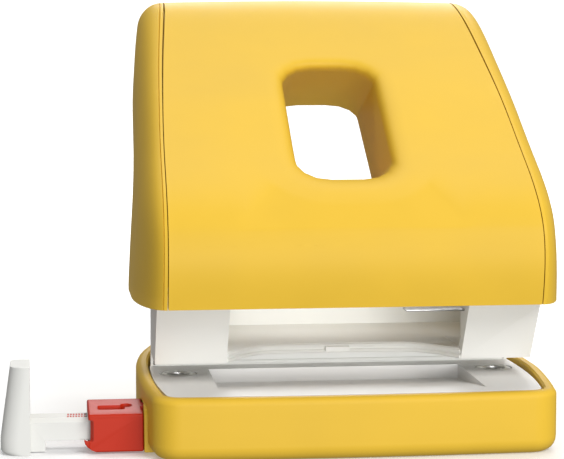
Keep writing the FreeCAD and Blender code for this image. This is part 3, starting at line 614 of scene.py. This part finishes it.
def side_cap(side):
    """One end of the handle: it curls round from the seam into a nearly flat side."""
    path = cap_path()
    normals = outward(path)
    groove = GROOVE_DEPTH if side < 0 else 0.0
    skin = [cap_row(path, normals, turn, groove if turn == GROOVE_TURN else 0.0)
            for turn in CAP_TURNS]
    lining = [cap_row(path, normals, turn, CAP_WALL) for turn in CAP_TURNS]
    points, faces = strips(skin[::-1] + lining)
    width = len(path)
    last = 2 * len(skin) - 1
    # The wall's thickness at the outline's two ends, and along the bottom edge between them.
    for r in range(len(skin) - 1):
        outer, inner = r * width, (last - r) * width
        for end in (0, width - 1):
            faces.append((outer + end, outer + width + end, inner - width + end, inner + end))
    faces.append((0, width - 1, last * width + width - 1, last * width))
    for more_points, more_faces in (cap_face(skin[-1], 0.0), cap_face(lining[-1], CAP_WALL),
                                    seam_lip(path, normals)):
        faces += [tuple(len(points) + k for k in face) for face in more_faces]
        points += more_points
    word = "right" if side > 0 else "left"
    cap = mesh_piece("side_cap_skin_" + word, [(side * x, y, z) for x, y, z in points], faces)
    round_edges(cap, 0.3, segments=2, angle=60.0)
    shade(cap, angle=50.0)
    return settle(cap, "handle", "yellow_plastic", YELLOW, "side_cap_" + word)


# ---- base tray -----------------------------------------------------------------------
SIDE_STEPS, CORNER_STEPS, BOW_STEPS, REAR_STEPS = 8, 8, 10, 40
LEAST_CORNER = 1.5
QUARTER = [math.radians(15.0 * k) for k in range(7)]
FOOT_BEND = 3.6          # radius of the underside's edge
RIM_BEND = 1.7           # radius of the rim's outer edge
BENDS_Z = 5.4            # what both bends take off the straight part of the wall
RIM_WIDTH = 3.0
INNER_BEND = 0.5
INNER_WALL = ((3.05, 8.0), (3.1, 3.2), (4.0, 2.3))
# The collar round the latch on the tray's left side, as (y, z), and its mouth.
COLLAR = [(-25.4, 0.4), (-25.4, 9.3), (-24.6, 10.6), (-22.0, 11.4), (-12.0, 11.9), (-10.0, 11.9),
          (-10.0, 0.4)]
COLLAR_X = (-49.85, -47.0)
MOUTH = [(-21.3, 2.2), (-21.3, 11.4), (-11.3, 11.4), (-11.3, 2.2)]
MOUTH_X = (-55.0, -44.0)
# Two ribs that the bar slides between, and the lugs that hold the tray's hinge pin.
RIB_X = (-47.2, 45.8)
RIB_Y = (-22.4, -13.1)
RIB_WIDTH = 1.1
RIB_Z = (2.0, 8.0)
LUG_X = (-20.0, 15.0)
LUG_WIDTH = 5.0
LUG_RADIUS = 2.4
HINGE_Y, HINGE_Z = 60.0, 10.8


def base_outline(inset):
    """Plan of the base as a closed list of (x, y), drawn inwards by inset."""
    half = BASE_HALF_X - inset
    back = BASE_BACK_Y - inset
    front = BASE_FRONT_Y + inset
    corner = max(BASE_CORNER - inset, LEAST_CORNER)
    side = half - BASE_TAPER
    low_y = front + BASE_BOW
    right = []
    for k in range(SIDE_STEPS + 1):
        y = BASE_MID_Y + (low_y + corner - BASE_MID_Y) * (1 - k / SIDE_STEPS)
        share = (BASE_MID_Y - y) / (BASE_MID_Y - low_y - corner)
        right.append((half - BASE_TAPER * share ** 2, y))
    turn = []
    for k in range(CORNER_STEPS):
        angle = math.radians(-90.0 + 90.0 * k / CORNER_STEPS)
        turn.append((side - corner + corner * math.cos(angle),
                     low_y + corner + corner * math.sin(angle)))
    bow = [((side - corner) * k / BOW_STEPS, front + BASE_BOW * (k / BOW_STEPS) ** 2)
           for k in range(BOW_STEPS)]
    front_right = bow + turn + right
    rear = []
    for k in range(1, REAR_STEPS):
        angle = math.pi * k / REAR_STEPS
        across = math.copysign(abs(math.cos(angle)) ** (2.0 / BASE_POWER), math.cos(angle))
        deep = math.sin(angle) ** (2.0 / BASE_POWER)
        rear.append((half * across, BASE_MID_Y + (back - BASE_MID_Y) * deep))
    front_left = [(-x, y) for x, y in front_right[:0:-1]]
    return front_right + rear + front_left


def rim_height(y):
    """The rim's height, which rises from the front."""
    share = min(1.0, max(0.0, (y - BASE_FRONT_Y) / RIM_RISE_Y))
    return RIM_FRONT + (RIM_TOP - RIM_FRONT) * share


def base_tray():
    """The tray: rounded foot and rim, a collar with its mouth for the latch, ribs and lugs."""
    rows = []

    def ring(inset, height):
        rows.append([(x, y, height(y)) for x, y in base_outline(inset)])

    for angle in QUARTER:
        ring(FOOT_BEND * (1.0 - math.sin(angle)), lambda y: FOOT_BEND * (1.0 - math.cos(angle)))
    for share in (0.4, 0.8):
        ring(0.0, lambda y: FOOT_BEND + (rim_height(y) - BENDS_Z) * share)
    for angle in QUARTER:
        ring(RIM_BEND * (1.0 - math.cos(angle)),
             lambda y: rim_height(y) - RIM_BEND * (1.0 - math.sin(angle)))
    for k in range(1, 5):
        angle = math.radians(22.5 * k)
        ring(RIM_WIDTH - INNER_BEND * math.cos(angle),
             lambda y: rim_height(y) - INNER_BEND * (1.0 - math.sin(angle + math.pi / 2)))
    for inset, level in INNER_WALL:
        ring(inset, lambda y: level)
    points, faces = strips(rows, closed=True)
    count = len(rows[0])
    faces.append(list(range(count))[::-1])
    faces.append([len(points) - count + k for k in range(count)])
    collar = prism("collar", COLLAR, *COLLAR_X)
    round_edges(collar, 0.3, angle=30.0)
    shell = mesh_piece("base_tray_shell", points, faces)
    for part in (shell, collar):
        cut_out(part, prism("mouth", MOUTH, *MOUTH_X))
    low, high = RIB_Z
    fittings = [prism("rib", [(y, low), (y + RIB_WIDTH, low), (y + RIB_WIDTH, high), (y, high)],
                      *RIB_X) for y in RIB_Y]
    eye = [(HINGE_Y + LUG_RADIUS * math.cos(math.radians(a)),
            HINGE_Z + LUG_RADIUS * math.sin(math.radians(a))) for a in range(0, 181, 15)]
    lug = [(HINGE_Y + LUG_RADIUS, low)] + eye + [(HINGE_Y - LUG_RADIUS, low)]
    fittings += [prism("lug", lug, x, x + LUG_WIDTH) for x in LUG_X]
    for part in fittings:
        round_edges(part, 0.25, segments=2)
    tray = join([shell, collar] + fittings)
    shade(tray, angle=40.0)
    return settle(tray, "base", "yellow_plastic", YELLOW, "base_tray")


# ---- shapes for the other pieces -------------------------------------------------------
SAME_POINT = 0.002
FLAT_DEGREES = 1.0


def softened_copy(node, width):
    """A copy of a CAD piece, its facets joined up and its edges rounded."""
    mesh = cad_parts[node].data.copy()
    piece = bpy.data.objects.new(node + "_soft", mesh)
    bpy.context.scene.collection.objects.link(piece)
    bm = bmesh.new()
    bm.from_mesh(mesh)
    bmesh.ops.remove_doubles(bm, verts=bm.verts, dist=SAME_POINT * MM)
    bmesh.ops.dissolve_limit(bm, angle_limit=math.radians(FLAT_DEGREES), verts=bm.verts,
                             edges=bm.edges)
    bm.to_mesh(mesh)
    bm.free()
    round_edges(piece, width, angle=30.0)
    return piece


def softened(node, body, slot, material, width):
    """Shows a CAD piece with rounded edges in its own place."""
    piece = softened_copy(node, width)
    shade(piece, angle=35.0)
    return settle(piece, body, slot, material, node)


def extruded(name, outline, low, high, place):
    """A closed solid from an outline; place turns a point (u, v) and a level into (x, y, z)."""
    count = len(outline)
    points = [place(u, v, level) for level in (low, high) for u, v in outline]
    faces = [tuple(range(count)), tuple(range(count, 2 * count))]
    faces += [(k, (k + 1) % count, count + (k + 1) % count, count + k) for k in range(count)]
    return mesh_piece(name, points, faces)


def prism(name, section, x0, x1):
    """A closed solid with the outline (y, z) between two x planes."""
    return extruded(name, section, x0, x1, lambda y, z, x: (x, y, z))


def slab(name, outline, z0, z1):
    """A closed solid with the outline (x, y) between two heights."""
    return extruded(name, outline, z0, z1, lambda x, y, z: (x, y, z))


def plate(name, outline, y0, y1):
    """A closed solid with the outline (x, z) between two y planes."""
    return extruded(name, outline, y0, y1, lambda x, z, y: (x, y, z))


def box_outline(u0, v0, u1, v1):
    """A rectangle from corner to corner, as an outline."""
    return [(u0, v0), (u1, v0), (u1, v1), (u0, v1)]


def lathe(name, profile, x, y, steps=64):
    """A ring of revolution about a vertical axis through (x, y), from a closed profile (r, z)."""
    rows = []
    for k in range(steps + 1):
        angle = 2.0 * math.pi * k / steps
        rows.append([(x + r * math.cos(angle), y + r * math.sin(angle), z) for r, z in profile])
    points, faces = strips(rows, closed=True)
    return mesh_piece(name, points, faces)


def join(pieces):
    """One object from several; the first one keeps its name."""
    bm = bmesh.new()
    for piece in pieces:
        bm.from_mesh(piece.data)
    bm.to_mesh(pieces[0].data)
    bm.free()
    for piece in pieces[1:]:
        bpy.data.objects.remove(piece)
    return pieces[0]


# ---- punch frame, dies and springs -----------------------------------------------------
# The hollowed front edge of the hold-down bed, as (x, y) from its right end inwards.
BED_EDGE = [(29.0, -12.0), (26.0, -7.4), (23.0, -3.5), (18.7, -0.2), (11.5, 0.7)]
BED_EDGE_MIDDLE = (0.0, 1.0)
BED_EDGE_STEPS = 72
# The beads along it: how far behind it, their height and their radius.
UPPER_LIP = (0.10, BED_TOP - 0.62, 0.55)
LOWER_LIP = (0.05, BED_LOW + 0.55, 0.5)
# Outlines (y, z) and their x: the room cut into each pin block, the cheek put in further
# out, the ledge along the paper stop, the dark strip of painted shade at the right pin block,
# and the slots for the stop's tabs, which get black blocks of painted shade.
ROOM = [(-9.3, 21.9), (-18.7, 33.2), (-22.4, 37.9), (-22.4, 40.0), (9.6, 40.0), (9.6, 21.9)]
ROOM_X = (17.5, 31.2)
CHEEK = [(-10.0, 21.7), (-19.2, 33.2), (-19.2, 36.0), (-4.0, 35.0), (9.0, 30.0), (9.0, 21.7)]
CHEEK_X = (33.3, 34.8)
LEDGE = [(12.6, 15.25), (11.75, 15.25), (11.55, 15.45), (11.65, 16.0), (12.6, 16.6)]
LEDGE_X = (-44.6, 44.6)
SHADE_STRIP = [(4.0, 28.95), (9.0, 28.95), (9.0, 29.4), (4.0, 29.4)]
SHADE_STRIP_X = (18.3, 33.6)
TAB_SLOT = [(11.5, 15.3), (12.4, 15.3), (12.4, 16.7), (11.5, 16.7)]
TAB_SLOT_X = 45.15
TAB_SLOT_HALF = 0.3
# The die's closed profile, as (radius, z).
DIE_PROFILE = [(2.83, PLATE_TOP - 2.6), (2.83, PLATE_TOP - 0.25), (2.95, PLATE_TOP - 0.08),
               (3.15, PLATE_TOP), (3.9, PLATE_TOP), (4.2, PLATE_TOP - 0.08),
               (4.4, PLATE_TOP - 0.3), (4.45, PLATE_TOP - 0.6), (4.68, PLATE_TOP - 0.65),
               (4.68, PLATE_TOP - 2.6)]


def bed_edge(y_shift):
    """The bed's front edge as a smooth line of (x, y), from its left to its right end."""
    points = [(-x, y) for x, y in BED_EDGE] + [BED_EDGE_MIDDLE] + BED_EDGE[::-1]
    return [(x, y + y_shift) for x, y in spline(points, BED_EDGE_STEPS)]


def bead(name, route, z, radius, sides=10):
    """A round bead along a level route, sunk halfway into the face behind it."""
    turns = [2.0 * math.pi * k / sides for k in range(sides)]
    rows = []
    for i, (x, y) in enumerate(route):
        ax, ay = route[max(i - 1, 0)]
        bx, by = route[min(i + 1, len(route) - 1)]
        length = math.hypot(bx - ax, by - ay)
        nx, ny = (by - ay) / length, -(bx - ax) / length
        rows.append([(x + nx * radius * math.cos(t), y + ny * radius * math.cos(t),
                      z + radius * math.sin(t)) for t in turns])
    points, faces = strips(rows, closed=True)
    last = len(points) - sides
    faces += [tuple(range(sides))[::-1], tuple(range(last, last + sides))]
    return mesh_piece(name, points, faces)


def punch_frame():
    """The white frame, with a rolled double lip on its bed and a ledge along the paper stop."""
    frame_piece = softened_copy("punch_frame", 0.7)
    for side in (-1, 1):
        cut_out(frame_piece, prism("room", ROOM, *[side * x for x in ROOM_X]))
    cheeks = [prism("cheek", CHEEK, *[side * x for x in CHEEK_X]) for side in (-1, 1)]
    lips = [bead(name, bed_edge(behind), z, radius)
            for name, (behind, z, radius) in (("upper_lip", UPPER_LIP), ("lower_lip", LOWER_LIP))]
    ledge = prism("ledge", LEDGE, *LEDGE_X)
    round_edges(ledge, 0.15, segments=2)
    piece = join([frame_piece, ledge] + cheeks + lips)
    shade(piece, angle=35.0)
    return settle(piece, "frame", "white_metal", WHITE, "punch_frame")


def shade_strip():
    """A dark steel strip on the right pin block only: painted shade for the dark corner under the
    handle.
    """
    piece = prism("painted_shade_strip", SHADE_STRIP, *SHADE_STRIP_X)
    round_edges(piece, 0.12, segments=2)
    shade(piece)
    # Its dark spring-steel finish paints the shade of that corner.
    settle(piece, "frame", "spring_steel", WIRE)


def slot_shade_blocks():
    """Black blocks in the two slots that the paper stop's tabs sit in: painted shade for the slots'
    dark insides.
    """
    for side, word in ((-1, "left"), (1, "right")):
        x = side * TAB_SLOT_X
        slot = prism("painted_slot_shade_" + word, TAB_SLOT, x - TAB_SLOT_HALF, x + TAB_SLOT_HALF)
        round_edges(slot, 0.1, segments=2)
        shade(slot)
        # The black rubber finish paints the slot's shade.
        settle(slot, "frame", "rubber", RUBBER)


def die_ring(side, word):
    """A hardened die: a ring with a rounded lip that stands in its own shallow seat."""
    ring = lathe("die_ring_" + word, DIE_PROFILE, side * DIE_X, 0.0)
    shade(ring, angle=40.0)
    return settle(ring, "frame", "steel", BUSH, "die_bushing_" + word)


def return_spring(word):
    """The coil spring round a pin, shown as the CAD coil with its own mesh; the real spring shortens
    as its pin goes down.
    """
    node = "return_spring_" + word
    spring = bpy.data.objects.new(node + "_coil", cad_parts[node].data.copy())
    bpy.context.scene.collection.objects.link(spring)
    shade(spring, angle=60.0)
    settle(spring, "frame", "spring_steel", WIRE, node)
    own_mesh(spring)


# ---- latch and paper guide ---------------------------------------------------------------
# The latch's body, from its outer to its inner end, its front to its back, and its height.
LATCH_X0, LATCH_X1 = -63.0, -49.9
LATCH_Y0, LATCH_Y1 = -24.3, -10.8
LATCH_Z0, LATCH_Z1 = 0.5, 10.9
# The stop at the bar's outer end, with its height and the radii of its outer corners.
OLD_STOP = box_outline(-90.0, -40.0, -76.7, 0.0)
STOP_OUTER_X, STOP_INNER_X = -83.6, -76.65
STOP_FRONT_Y, STOP_BACK_Y = -24.0, -11.0
STOP_LEVELS = (0.0, 0.15, 0.5, 1.0, 2.0, 4.0, 7.5, 11.0, 14.5, 18.0, 21.0)
STOP_LEAN, STOP_LEAN_Z0, STOP_LEAN_Z1 = 2.4, 4.0, 21.0
STOP_FOOT, STOP_FOOT_Z = 1.2, 1.2
STOP_FRONT_CORNER = (4.2, 3.6)
STOP_BACK_CORNER = 2.0
# The ticks' two rows, from y to y; each row is shifted a little, as the photograph shows.
SCALE_Z = 8.2
SCALE_SUNK, SCALE_PROUD = 0.2, 0.04
TICK_ROWS = ((-19.2, -17.6), (-16.8, -15.0))
TICKS = 7
TICK_X, TICK_STEP, TICK_WIDTH, TICK_SHIFT = -67.9, 0.66, 0.42, 0.1
MARK_X = (-63.7, -63.1)
MARK_ROWS = (-19.2, -16.4)
MARK_LENGTH = 1.4


def latch():
    """The red latch: a sleeve round the bar with a pocket on top, a fin in front and a tongue."""
    x0, x1 = LATCH_X0, LATCH_X1
    y0, y1 = LATCH_Y0, LATCH_Y1
    z0, z1 = LATCH_Z0, LATCH_Z1
    body = prism("latch_body", [(y0, z0), (y0, 9.5), (y0 + 2.2, 9.95), (y1 - 2.4, z1), (y1, z1),
                                (y1, z0)], x0, x1)
    round_edges(body, 0.45, segments=4, angle=12.0)
    bar_room = [(-22.8, 2.6), (-22.8, 8.1), (-22.4, 8.5), (-13.3, 8.5), (-13.3, 2.6)]
    cut_out(body, prism("bar_room", bar_room, x0 - 3, x1 + 3))
    pocket = slab("pocket", box_outline(x0 + 2.3, -20.8, x1 - 4.2, -17.2), 9.0, 13.0)
    round_edges(pocket, 0.9, segments=5, angle=50.0)
    cut_out(body, pocket)
    cut_out(body, lathe("notch", [(0.0, 9.0), (1.5, 9.0), (1.5, 13.0), (0.0, 13.0)],
                        x1 - 3.9, -17.4, 40))
    neck = slab("neck", [(x0 - 1, -25.0), (x0 + 1.5, -25.0), (x0 + 1.1, -23.9), (x0 + 0.5, -23.3),
                         (x0 + 0.4, -10.0), (x0 - 1, -10.0)], 3.0, 8.3)
    round_edges(neck, 0.6, segments=4, angle=30.0)
    cut_out(body, neck)
    heel = [(x0 - 1.0, 0.0), (x0 + 3.0, 0.0), (x0 + 1.7, 0.65), (x0 + 0.7, 1.1), (x0 - 0.2, 2.0),
            (x0 - 1.0, 3.0)]
    cut_out(body, plate("heel", heel, y0 - 1.0, y1 + 1.0))
    fin = plate("fin", [(x0 + 3.2, 0.5), (x0 + 1.8, 0.62), (x0 + 0.7, 1.0), (x0 - 0.2, 1.7),
                        (x0 - 0.8, 2.5), (x0 - 1.05, 3.5), (x0 - 0.3, 3.15), (x0 + 3.2, 3.3)],
                y0 + 0.2, y0 + 1.4)
    round_edges(fin, 0.25, segments=2, angle=40.0)
    round_edges(body, 0.16, segments=2, angle=50.0)
    tongue = prism("tongue", box_outline(-20.3, 8.5, -15.1, 10.7), x1 - 0.6, -44.5)
    piece = join([body, fin, tongue])
    shade(piece, angle=40.0)
    return settle(piece, "latch", "red_plastic", RED, "guide_latch")


def guide_bar():
    """The white guide bar from the CAD, with its stop drawn anew: leaning and round-cornered."""
    bar = softened_copy("guide_bar", 0.5)
    cut_out(bar, slab("old_stop", OLD_STOP, -1.0, 40.0))
    deep_x, deep_y = STOP_FRONT_CORNER
    turns = [math.radians(9.0 * k) for k in range(11)]
    rows = []
    for z in STOP_LEVELS:
        lean = STOP_LEAN * max(0.0, z - STOP_LEAN_Z0) / (STOP_LEAN_Z1 - STOP_LEAN_Z0)
        out = STOP_OUTER_X + lean + STOP_FOOT * max(0.0, 1.0 - z / STOP_FOOT_Z) ** 2
        plan = [(STOP_INNER_X, STOP_FRONT_Y)]
        plan += [(out + deep_x * (1.0 - math.sin(a)), STOP_FRONT_Y + deep_y * (1.0 - math.cos(a)))
                 for a in turns]
        plan += [(out + STOP_BACK_CORNER * (1.0 - math.cos(a)),
                  STOP_BACK_Y - STOP_BACK_CORNER * (1.0 - math.sin(a))) for a in turns]
        plan.append((STOP_INNER_X, STOP_BACK_Y))
        rows.append([(x, y, z) for x, y in plan])
    points, faces = strips(rows, closed=True)
    count = len(rows[0])
    faces += [tuple(range(count))[::-1], tuple(range(len(points) - count, len(points)))]
    stop = mesh_piece("stop", points, faces)
    round_edges(stop, 0.45, angle=50.0)
    piece = join([bar, stop])
    shade(piece, angle=35.0)
    return settle(piece, "guide", "white_plastic", PALE, "guide_bar")


def guide_scale():
    """Plain red ticks on top of the bar, and the dark marks that they are read against."""
    low_z, high_z = SCALE_Z - SCALE_SUNK, SCALE_Z + SCALE_PROUD
    for k in range(TICKS):
        for r, (low, high) in enumerate(TICK_ROWS):
            x = TICK_X + TICK_STEP * k + TICK_SHIFT * r
            outline = box_outline(x, low, x + TICK_WIDTH, high)
            settle(slab("scale_tick_%d_%d" % (k, r), outline, low_z, high_z),
                   "guide", "red_plastic", RED)
    for r, low in enumerate(MARK_ROWS):
        outline = box_outline(MARK_X[0], low, MARK_X[1], low + MARK_LENGTH)
        settle(slab("scale_mark_%d" % r, outline, low_z, high_z), "guide", "rubber", RUBBER)


# ---- stage, light and camera -----------------------------------------------------------
FLOOR_HALF_X = 2500.0
FLOOR_NEAR_Y, FLOOR_MIDDLE_Y, FLOOR_FAR_Y = -1500.0, 400.0, 900.0
FLOOR_BEND = 500.0
FLOOR_TOP_Z = 2500.0
FLOOR_GREY = 0.84
FLOOR_GLOW = 0.20
WORLD_STRENGTH = 0.30
# Each lamp's name, place, target, size and power; "well" lights the dark space in the frame.
LAMPS = (
    ("key", (0.52, -1.05, 0.80), (0.0, 0.0, 0.06), (0.7, 0.6), 12.0),
    ("low_front", (0.10, -1.30, 0.10), (0.0, 0.0, 0.03), (0.7, 0.16), 9.0),
    ("back", (0.15, 0.85, 0.50), (0.0, 0.0, 0.03), (0.5, 0.2), 3.0),
    ("well", (-0.006, 0.022, 0.044), (-0.006, 0.018, 0.02), (0.044, 0.012), 0.0042),
    ("backdrop", (0.0, 0.70, 1.60), (0.0, 1.35, 0.20), (2.0, 0.8), 26.0),
)
SENSOR_MM = 36.0
LENS_MM = 131.31
CAMERA_PLACE = (-0.07477, -0.50562, 0.10049)
CAMERA_DOWN = 5.588
CAMERA_TURN = -6.856


def backdrop():
    """A pale, faintly glowing floor that curves up behind the object and throws no light on it."""
    run = [(FLOOR_NEAR_Y, 0.0), (FLOOR_MIDDLE_Y, 0.0), (FLOOR_FAR_Y, 0.0)]
    run += [(FLOOR_FAR_Y + FLOOR_BEND * math.sin(math.radians(a)),
             FLOOR_BEND - FLOOR_BEND * math.cos(math.radians(a))) for a in range(10, 100, 10)]
    run.append((FLOOR_FAR_Y + FLOOR_BEND, FLOOR_TOP_Z))
    rows = [[(x, y, z) for x in (-FLOOR_HALF_X, 0.0, FLOOR_HALF_X)] for y, z in run]
    points, faces = strips(rows)
    floor = mesh_piece("floor", points, faces)
    floor.data.polygons.foreach_set("use_smooth", [True] * len(floor.data.polygons))
    paper = moulded("floor_paper", (FLOOR_GREY,) * 3, 0.9, grain=1.5, cloud=0.01, specular=0.1)
    shader = paper.node_tree.nodes["Principled BSDF"]
    shader.inputs["Emission Color"].default_value = (1.0, 1.0, 1.0, 1.0)
    shader.inputs["Emission Strength"].default_value = FLOOR_GLOW
    floor.data.materials.append(paper)
    floor.visible_diffuse = False
    floor.visible_glossy = False


def area_light(name, place, target, size, power):
    """A rectangular lamp that faces its target and doesn't show in the picture."""
    light = bpy.data.lights.new(name, "AREA")
    light.shape = "RECTANGLE"
    light.size, light.size_y = size
    light.energy = power
    lamp = bpy.data.objects.new(name, light)
    lamp.location = place
    lamp.rotation_euler = (Vector(target) - Vector(place)).to_track_quat("-Z", "Y").to_euler()
    lamp.visible_camera = False
    bpy.context.scene.collection.objects.link(lamp)


def lighting():
    """An even white surround and the lamps."""
    world = bpy.data.worlds.new("studio")
    world.use_nodes = True
    surround = world.node_tree.nodes["Background"]
    surround.inputs["Color"].default_value = (1.0, 1.0, 1.0, 1.0)
    surround.inputs["Strength"].default_value = WORLD_STRENGTH
    bpy.context.scene.world = world
    for lamp in LAMPS:
        area_light(*lamp)


def camera():
    """The photograph's view, as fitted to the dies, the paper slot and the outlines."""
    lens = bpy.data.cameras.new("camera")
    lens.sensor_width = SENSOR_MM
    lens.lens = LENS_MM
    lens.clip_start = 0.01
    lens.clip_end = 20.0
    view = bpy.data.objects.new("camera", lens)
    view.location = CAMERA_PLACE
    view.rotation_euler = (math.radians(90.0 - CAMERA_DOWN), 0.0, math.radians(CAMERA_TURN))
    bpy.context.scene.collection.objects.link(view)
    bpy.context.scene.camera = view


def finish_nodes():
    """Finishes for the CAD pieces that are shown as they are."""
    finishes = {"anti_slip_pads": RUBBER, "tray_hinge_pin": ZINC, "frame_rivets": ZINC,
                "pivot_axle": ZINC, "axle_clips": WIRE, "handle_screws": ZINC, "lever_plate": ZINC,
                "press_pads": NYLON}
    for side in ("left", "right"):
        finishes["pin_guide_" + side] = STEEL
        finishes["punch_pin_" + side] = STEEL
        finishes["pin_clip_" + side] = WIRE
    for node, material in finishes.items():
        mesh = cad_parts[node].data
        mesh.materials.clear()
        mesh.materials.append(material)


camera()
lighting()
backdrop()
finish_nodes()
handle_shell()
side_cap(1)
side_cap(-1)
base_tray()
punch_frame()
shade_strip()
slot_shade_blocks()
softened("die_plate", "frame", "white_metal", SATIN, 0.55)
die_ring(-1, "left")
die_ring(1, "right")
return_spring("left")
return_spring("right")
softened("back_cover", "handle", "yellow_plastic", YELLOW, 0.5)
guide_bar()
latch()
guide_scale()

bpy.context.scene.view_settings.view_transform = "Standard"
